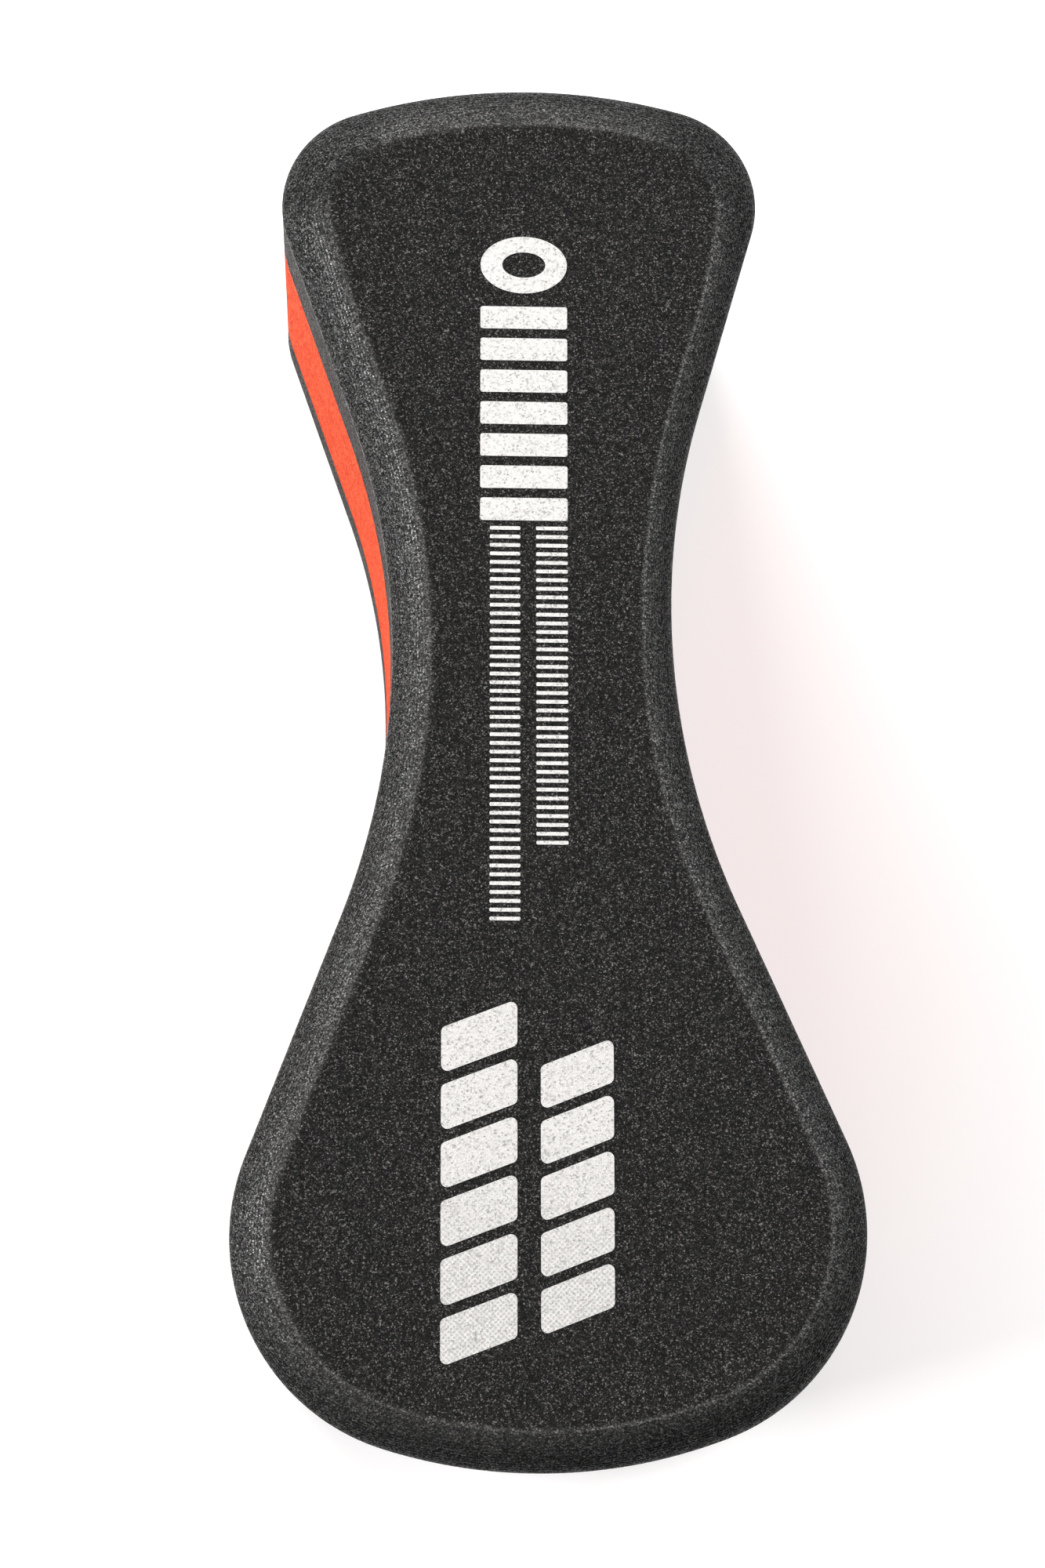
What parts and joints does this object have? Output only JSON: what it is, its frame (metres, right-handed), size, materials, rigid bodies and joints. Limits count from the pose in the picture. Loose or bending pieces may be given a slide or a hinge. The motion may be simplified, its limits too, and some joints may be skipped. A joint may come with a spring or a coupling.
{
  "type": "pull buoy",
  "caption": "Figure-of-eight swimming float, laminated from foam layers, that is held between the thighs to lift the legs.",
  "frame": {"origin": "centre of the footprint on the rear face, which is the face that the buoy lies on", "axes": "+Z out of the printed front face, +Y along the length towards the small lobe, +X to the right"},
  "size_m": [0.1024, 0.23, 0.084],
  "materials": {
    "black_foam": "matt closed-cell EVA foam, fine open pores on the cut faces, router lines on the shoulder",
    "red_foam": "matt closed-cell EVA foam, vivid orange-red, fine grain on the cut wall",
    "bond_adhesive": "thin dark line of set contact adhesive",
    "white_ink": "matt white screen-print ink with the foam's pores showing through"
  },
  "bodies": {
    "root": {"rear_foam_layer": "black_foam", "rear_bond_film": "bond_adhesive", "core_foam_layer": "red_foam", "front_bond_film": "bond_adhesive", "front_foam_layer": "black_foam"}
  },
  "joints": []
}
